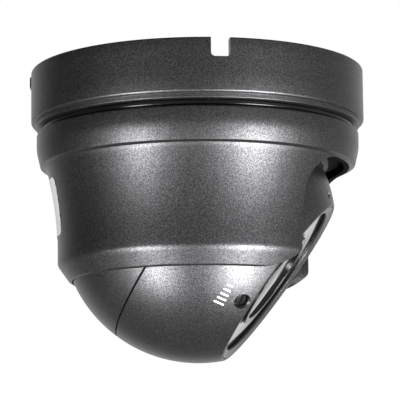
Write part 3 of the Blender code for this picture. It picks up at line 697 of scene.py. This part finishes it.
def make_ball():
    """Both halves of the ball, its holes and grub screws, and the ring in its seam."""
    seam_angle = math.degrees(math.asin(SEAM_HALF_GAP / BALL_R))
    face_angle = math.degrees(math.asin(FACE_H / BALL_R))
    cap_angle = math.degrees(math.asin(CAP_H / BALL_R))
    cap_inner_angle = math.degrees(math.asin((CAP_H + 3) / BALL_INNER_R))

    rear = [
        (BALL_R - 0.45, -SEAM_HALF_GAP), (BALL_R - 0.12, -SEAM_HALF_GAP - 0.06),
        *arc(0, 0, BALL_R, -seam_angle - 0.35, cap_angle, 40),
        (CAP_HOLE_R, CAP_H), (CAP_HOLE_R, CAP_H + 3),
        *arc(0, 0, BALL_INNER_R, cap_inner_angle, -3.2, 16),
        (51.5, -3.0), (51.5, -SEAM_HALF_GAP), (55.2, -SEAM_HALF_GAP), (55.2, -1.4), (56.6, -1.4),
        (56.6, -SEAM_HALF_GAP),
    ]
    ball = spun(rear, FINE, BALL)
    obj = shaped("ball_rear_body", ball, "ball_rear", PAINT, ["ball_rear_shell"])
    true_normals(obj, on_sphere)

    front = [
        (BALL_R - 0.45, SEAM_HALF_GAP), (BALL_R - 0.12, SEAM_HALF_GAP + 0.06),
        *arc(0, 0, BALL_R, seam_angle + 0.35, face_angle - 0.35, 40),
        (math.sqrt(BALL_R**2 - FACE_H**2) - 0.25, FACE_H),
        (FACE_RIM_R + 0.1, FACE_H), (FACE_RIM_R, FACE_H - 0.1),
        (FACE_RIM_R, 39.55), (36.9, 39.55), (36.9, 35.9), (33.8, 35.9), (33.8, 33.9),
        *arc(0, 0, BALL_INNER_R, 38.4, 3.2, 16),
        (51.5, 3.0), (51.5, SEAM_HALF_GAP),
    ]
    ball = spun(front, FINE, BALL)
    obj = shaped("ball_front_body", ball, "ball_front", PAINT, ["ball_front_shell"])
    mouth = [
        (0, -2.6), (ADJUSTER_R, -2.6), (ADJUSTER_R, -0.55), (ADJUSTER_R + 0.35, 0.0), (ADJUSTER_R + 0.9, 1.0),
        (0, 1.0),
    ]
    bore = [(0, -16), (1.9, -16), (1.9, -2.5), (0, -2.5)]
    cutters = []
    for joint in SPINDLES.values():
        cutters += [spun(mouth, 72, spindle_matrix(joint)), spun(bore, 40, spindle_matrix(joint))]
    grub_hole = [(0, -4.2), (GRUB_R, -4.2), (GRUB_R, -0.3), (GRUB_R + 0.6, 0.6), (0, 0.6)]
    grub = rounded(
        [(0, -3.9, 0), (1.15, -3.9, 0), (1.15, -1.1, 0.15), (0.7, -1.0, 0), (0.55, -2.0, 0), (0, -2.0, 0)], 3
    )
    for letter, side, node in (("a", -1, "bezel_grub_screw_1"), ("b", 1, "bezel_grub_screw_2")):
        out = Vector((-GRUB_UP, side * GRUB_SIDE, GRUB_H))
        place = BALL @ Matrix.Translation(out * MM) @ facing_along(out)
        cutters.append(spun(grub_hole, 40, place))
        screw = spun(grub, 36, place)
        shaped(f"grub_screw_{letter}", screw, "ball_front", DARK_STEEL, [node])
    carved(obj, cutters)
    true_normals(obj, on_sphere)

    ring = rounded([(55.5, -1.1, 0.3), (56.3, -1.1, 0.3), (56.3, -0.05, 0.35), (55.5, -0.05, 0.35)], 4)
    shaped("seam_seal", spun(ring, FINE, BALL), "ball_rear", RUBBER, ["seam_oring"])


def make_face():
    """The bezel, both dark windows and the raised ring between them."""
    bezel = rounded(
        [(38.65, 39.8, 0), (38.65, 41.5, 0.25), (38.2, 41.45, 0.2), (35.0, 40.65, 0.18), (35.0, 39.8, 0)], 4
    )
    shaped("face_bezel", spun(bezel, FINE, BALL), "ball_front", BLACK_PAINT, ["bezel_ring"])
    pane = rounded(
        [(21.8, GLASS_BOTTOM, 0), (36.6, GLASS_BOTTOM, 0), (36.6, GLASS_TOP, 0.2), (21.8, GLASS_TOP, 0.2)], 3
    )
    shaped("lamp_pane", spun(pane, FINE, BALL), "ball_front", DARK_GLASS, ["led_window"])
    port = rounded(
        [(0, GLASS_BOTTOM, 0), (18.6, GLASS_BOTTOM, 0), (18.6, GLASS_TOP, 0.2), (0, GLASS_TOP, 0)], 3
    )
    shaped("lens_port", spun(port, 120, BALL), "ball_front", DARK_GLASS, ["lens_window"])
    baffle = rounded([(18.9, 30.0, 0), (21.5, 30.0, 0), (21.5, 40.2, 0.35), (18.9, 40.2, 0.35)], 5)
    shaped("lens_baffle", spun(baffle, 144, BALL), "ball_front", RUBBER, ["ir_baffle"])


def make_lamps():
    """The ring of lamps on its holder, with one left out at the top for the light sensor."""
    holder = rounded([(22.0, 29.9, 0), (30.0, 29.9, 0), (30.0, 31.4, 0.3), (22.0, 31.4, 0.3)], 3)
    parts = [spun(holder, 120)]
    dome = [(0, 30.2), (LED_R + 0.4, 30.2), (LED_R + 0.4, 31.6), (LED_R, 31.8), (LED_R, 33.2)]
    dome += list(arc(0, 33.2, LED_R, 0, 90, 8))[1:-1] + [(0, 35.7)]
    for index in range(1, LED_COUNT + 1):
        place = at_turn(LED_PCD_R, 2 * math.pi * index / LED_COUNT, 0)
        if place[0] > -(LED_PCD_R - 0.5) * MM:
            parts.append(spun(dome, 24, Matrix.Translation(place)))
    lamps = bolted(parts)
    bmesh.ops.transform(lamps, matrix=BALL, verts=lamps.verts)
    shaped("lamp_ring", lamps, "ball_front", RESIN, ["led_array"])


def pinion(tip, root, teeth, low, high):
    """A small spur wheel about Z with four outline points to a tooth."""
    mesh = bmesh.new()
    pitch = 2 * math.pi / teeth
    tooth = ((root, 0.1), (tip, 0.35), (tip, 0.65), (root, 0.9))
    spots = [(r, (k + share) * pitch) for k in range(teeth) for r, share in tooth]
    loops = [[mesh.verts.new(at_turn(r, a, z)) for r, a in spots] for z in (low, high)]
    mesh.faces.new(loops[1])
    mesh.faces.new(loops[0][::-1])
    for k in range(len(spots)):
        mesh.faces.new((loops[0][k - 1], loops[0][k], loops[1][k], loops[1][k - 1]))
    return mesh


def make_spindles():
    """The slotted adjusters in their holes, each with its pinion."""
    for name, joint in SPINDLES.items():
        node = f"{name}_spindle"
        matrix = spindle_matrix(joint)
        inverse = matrix.inverted()
        shape = frame["nodes"][node]
        low = min((inverse @ (shape.matrix_world @ vertex.co)).z for vertex in shape.data.vertices) / MM
        shaft = rounded(
            [(0, low, 0), (1.5, low, 0.2), (1.5, HEAD_UNDER, 0.1), (2.4, HEAD_UNDER, 0),
             (2.4, HEAD_TOP, 0.35), (0, HEAD_TOP, 0)],
            4,
        )
        slot = bmesh.new()
        box = Matrix.Diagonal((*(side * MM for side in SLOT_SIZE), 1.0))
        top = Matrix.Translation((0, 0, HEAD_TOP * MM))
        bmesh.ops.create_cube(slot, size=1.0, matrix=matrix @ top @ box)
        obj = shaped(f"{name}_adjuster", spun(shaft, 64, matrix), f"{name}_dial", DARK_STEEL, [node])
        carved(obj, [slot])
        obj.data.set_sharp_from_angle(angle=math.radians(30))
        wheel = pinion(3.1, 2.2, 6, low + 0.3, low + 2.9)
        shaped(f"{name}_pinion", placed(wheel, matrix), f"{name}_dial", DARK_STEEL)


# ---- Scale marks beside the adjusters --------------------------------------------------------------


def make_marks():
    """A generic scale printed beside each adjuster: short ticks on an arc that grow from low to high."""
    for name, joint in SPINDLES.items():
        mouth = Vector(JOINTS[joint]["pos_m"])
        out = (mouth - BALL_CENTRE).normalized()
        back = (-AXIS + out * out.dot(AXIS)).normalized()
        along = out.cross(back).normalized()
        mesh = bmesh.new()
        for tick in range(TICKS):
            share = tick / (TICKS - 1) - 0.5
            length = 2.6 + 0.5 * tick
            grid = []
            for step in range(5):
                row = []
                for side in (-1, 1):
                    lateral = share * TICKS_SPAN + side * TICK_HALF
                    behind = TICKS_BACK + length * (step / 4 - 0.5)
                    place = mouth + (back * behind + along * lateral) * MM
                    normal = (place - BALL_CENTRE).normalized()
                    row.append([
                        mesh.verts.new(BALL_CENTRE + normal * (BALL_R + lift) * MM) for lift in INK_LIFTS
                    ])
                grid.append(row)
            for a, b in zip(grid, grid[1:]):
                mesh.faces.new((a[0][1], a[1][1], b[1][1], b[0][1]))
                mesh.faces.new((a[0][0], b[0][0], b[1][0], a[1][0]))
                mesh.faces.new((a[0][0], a[0][1], b[0][1], b[0][0]))
                mesh.faces.new((a[1][0], b[1][0], b[1][1], a[1][1]))
            for row, order in ((grid[0], 1), (grid[-1], -1)):
                corners = [row[0][0], row[1][0], row[1][1], row[0][1]]
                mesh.faces.new(corners[::order])
        shaped(f"{name}_scale", placed(mesh, None), "ball_front", INK)


# ---- Carried-over pieces ---------------------------------------------------------------------------


def finish_nodes():
    """Gives each CAD node that stays the look of its slot."""
    slots = {part["node"]: part["material_slot"] for part in frame["record"]["subparts"]}
    # The clamp ring takes the dull black as painted shade; the friction rubber on the friction ring and lip seal
    # is their own.
    special = {"friction_ring": FELT, "lip_seal": FELT, "ball_clamp_ring": PAINTED_SHADE_BLACK}
    for name, obj in frame["nodes"].items():
        material = special.get(name, SLOT_MATERIALS[slots[name]])
        for index in range(len(obj.material_slots)):
            obj.material_slots[index].material = material


# ---- Stage -----------------------------------------------------------------------------------------


def area_light(name, place, aim, width, height, power):
    """A soft rectangular light that faces a point."""
    light = bpy.data.lights.new(name, "AREA")
    light.shape = "RECTANGLE"
    light.size, light.size_y = width, height
    light.energy = power
    obj = bpy.data.objects.new(name, light)
    bpy.context.scene.collection.objects.link(obj)
    obj.location = place
    obj.rotation_mode = "QUATERNION"
    obj.rotation_quaternion = (aim - place).to_track_quat("-Z", "Y")


def make_camera():
    """The camera, a little below the object and slightly rolled."""
    data = bpy.data.cameras.new("view")
    data.lens = LENS
    data.sensor_width = SENSOR
    obj = bpy.data.objects.new("view", data)
    bpy.context.scene.collection.objects.link(obj)
    a, e = math.radians(VIEW_AZIMUTH), math.radians(-VIEW_DIP)
    back = Vector((math.sin(a) * math.cos(e), -math.cos(a) * math.cos(e), math.sin(e)))
    obj.location = BALL_CENTRE + back * VIEW_DISTANCE
    look = (-back).to_track_quat("-Z", "Y")
    obj.rotation_mode = "QUATERNION"
    obj.rotation_quaternion = look @ Matrix.Rotation(math.radians(VIEW_ROLL), 3, "Z").to_quaternion()
    data.shift_x, data.shift_y = SHIFT_X, SHIFT_Y
    bpy.context.scene.camera = obj


def make_stage():
    """A pale floor far below, which neither lights the object nor shows in it, and two strip lights."""
    floor = bmesh.new()
    place = Matrix.Translation((0, 0, FLOOR_Z))
    bmesh.ops.create_grid(floor, x_segments=1, y_segments=1, size=60.0, matrix=place)
    data = bpy.data.meshes.new("floor")
    floor.to_mesh(data)
    floor.free()
    obj = bpy.data.objects.new("floor", data)
    bpy.context.scene.collection.objects.link(obj)
    paper = plastic("floor_paper", (0.6, 0.6, 0.6), 0.8, 2.0, 0.02)
    glow = paper.node_tree.nodes["Principled BSDF"].inputs
    glow["Emission Color"].default_value = (1.0, 1.0, 1.0, 1.0)
    glow["Emission Strength"].default_value = 0.6
    obj.data.materials.append(paper)
    obj.visible_diffuse = False
    obj.visible_glossy = False

    make_world()
    for name, turn, width, power in STRIPS:
        a, e = math.radians(VIEW_AZIMUTH + turn), math.radians(STRIP_DIP)
        way = Vector((math.sin(a) * math.cos(e), -math.cos(a) * math.cos(e), -math.sin(e)))
        area_light(name, BALL_CENTRE + way * STRIP_DISTANCE, BALL_CENTRE, width, STRIP_HEIGHT, power)


def make_world():
    """A white wall behind the object, fading to a dim room that is lighter on the right, with a dim
    floor. The backdrop itself shows as plain white from every side."""
    world = bpy.data.worlds.new("studio")
    world.use_nodes = True
    tree = world.node_tree
    a = math.radians(VIEW_AZIMUTH)
    direction = tree.nodes.new("ShaderNodeTexCoord").outputs["Generated"]

    def facing(vector):
        dot = tree.nodes.new("ShaderNodeVectorMath")
        dot.operation = "DOT_PRODUCT"
        tree.links.new(direction, dot.inputs[0])
        dot.inputs[1].default_value = vector
        return dot.outputs["Value"]

    room = ranged(tree, facing((math.cos(a), math.sin(a), 0)), ROOM_LEFT, ROOM_RIGHT, -1.0, 1.0)
    wall = ranged(tree, facing((-math.sin(a), math.cos(a), 0)), 0.0, 1.0, *WHITE_WALL)
    mix = tree.nodes.new("ShaderNodeMix")
    tree.links.new(wall, mix.inputs["Factor"])
    tree.links.new(room, mix.inputs[2])
    mix.inputs[3].default_value = 1.0
    lower = tree.nodes.new("ShaderNodeMix")
    tree.links.new(ranged(tree, facing((0, 0, -1)), 0.0, 1.0, *FLOOR_EDGE), lower.inputs["Factor"])
    tree.links.new(mix.outputs[0], lower.inputs[2])
    lower.inputs[3].default_value = ROOM_FLOOR
    seen = tree.nodes.new("ShaderNodeMath")
    seen.operation = "MAXIMUM"
    tree.links.new(lower.outputs[0], seen.inputs[0])
    tree.links.new(tree.nodes.new("ShaderNodeLightPath").outputs["Is Camera Ray"], seen.inputs[1])
    tree.links.new(seen.outputs[0], tree.nodes["Background"].inputs["Strength"])
    tree.nodes["Background"].inputs["Color"].default_value = (1, 1, 1, 1)
    bpy.context.scene.world = world
    bpy.context.scene.view_settings.view_transform = "Standard"


make_base()
make_shroud()
make_label()
make_ball()
make_face()
make_lamps()
make_spindles()
make_marks()
finish_nodes()
make_stage()
make_camera()
